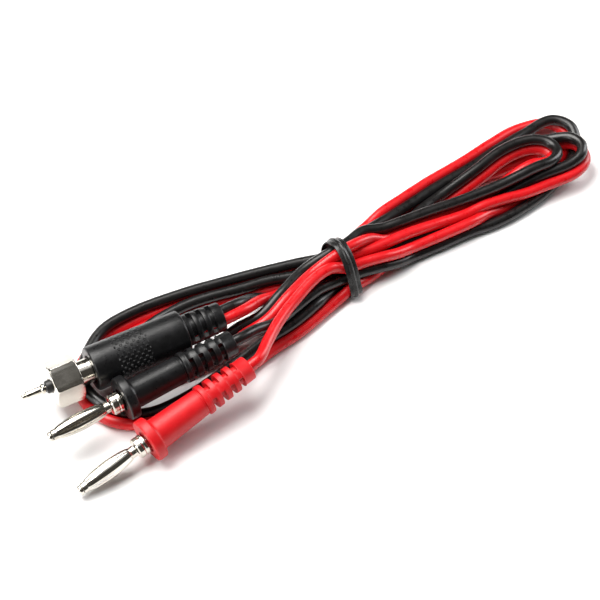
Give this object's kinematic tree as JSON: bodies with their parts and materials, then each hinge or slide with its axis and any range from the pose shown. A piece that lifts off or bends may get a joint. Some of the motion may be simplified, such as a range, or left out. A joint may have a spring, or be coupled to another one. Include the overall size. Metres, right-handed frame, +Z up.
{
  "type": "battery charger lead",
  "caption": "Tied twin-cord charging lead with two sprung banana plugs at one end and a hex-bodied glow plug adaptor in a soft sleeve at the other.",
  "frame": {"origin": "centre of the bounding box's footprint, on the surface the lead lies on", "axes": "+X along the coil away from the plugs, +Y across the coil from the red plug towards the adaptor, +Z up"},
  "size_m": [0.1712, 0.0514, 0.0149],
  "materials": {
    "nickel": "polished nickel plate",
    "copper": "bare stranded copper",
    "red_pvc": "soft moulded PVC, satin",
    "black_pvc": "soft moulded PVC, satin",
    "red_cord_pvc": "soft cord PVC, semi-gloss",
    "black_cord_pvc": "soft cord PVC, semi-gloss",
    "insulator": "hard moulded insulator",
    "tie_plastic": "flat plastic-covered wire tie"
  },
  "bodies": {
    "lead": {"red_plug_pin": "nickel", "red_plug_conductor": "copper", "black_plug_pin": "nickel", "black_plug_conductor": "copper", "adaptor_centre_post": "nickel", "adaptor_front_bush": "insulator", "adaptor_hex_body": "nickel", "adaptor_rear_bush": "insulator", "adaptor_post_nut": "nickel", "adaptor_centre_tag": "nickel", "adaptor_ground_tag": "nickel", "cord_red_core": "red_cord_pvc", "cord_black_core": "black_cord_pvc", "wire_tie": "tie_plastic"},
    "red_spring": {"red_plug_lantern_spring": "nickel"},
    "red_sleeve": {"red_plug_sleeve": "red_pvc"},
    "black_spring": {"black_plug_lantern_spring": "nickel"},
    "black_sleeve": {"black_plug_sleeve": "black_pvc"},
    "adaptor_sleeve": {"adaptor_sleeve": "black_pvc"}
  },
  "joints": [
    {"name": "red_spring_spin", "type": "hinge", "parent": "lead", "child": "red_spring", "pos_m": [-0.07539, -0.02173, 0.00386], "axis": [-0.9777, -0.1354, -0.1604], "continuous": true},
    {"name": "red_sleeve_slide", "type": "slide", "parent": "lead", "child": "red_sleeve", "axis": [0.9777, 0.1354, 0.1604], "range_m": [0, 0.0025]},
    {"name": "black_spring_spin", "type": "hinge", "parent": "lead", "child": "black_spring", "pos_m": [-0.07601, -0.00886, 0.00858], "axis": [-0.9978, -0.0295, -0.059], "continuous": true},
    {"name": "black_sleeve_slide", "type": "slide", "parent": "lead", "child": "black_sleeve", "axis": [0.9978, 0.0295, 0.059], "range_m": [0, 0.0025]},
    {"name": "adaptor_sleeve_slide", "type": "slide", "parent": "lead", "child": "adaptor_sleeve", "axis": [0.9989, -0.0432, 0.0162], "range_m": [0, 0.0025]}
  ]
}
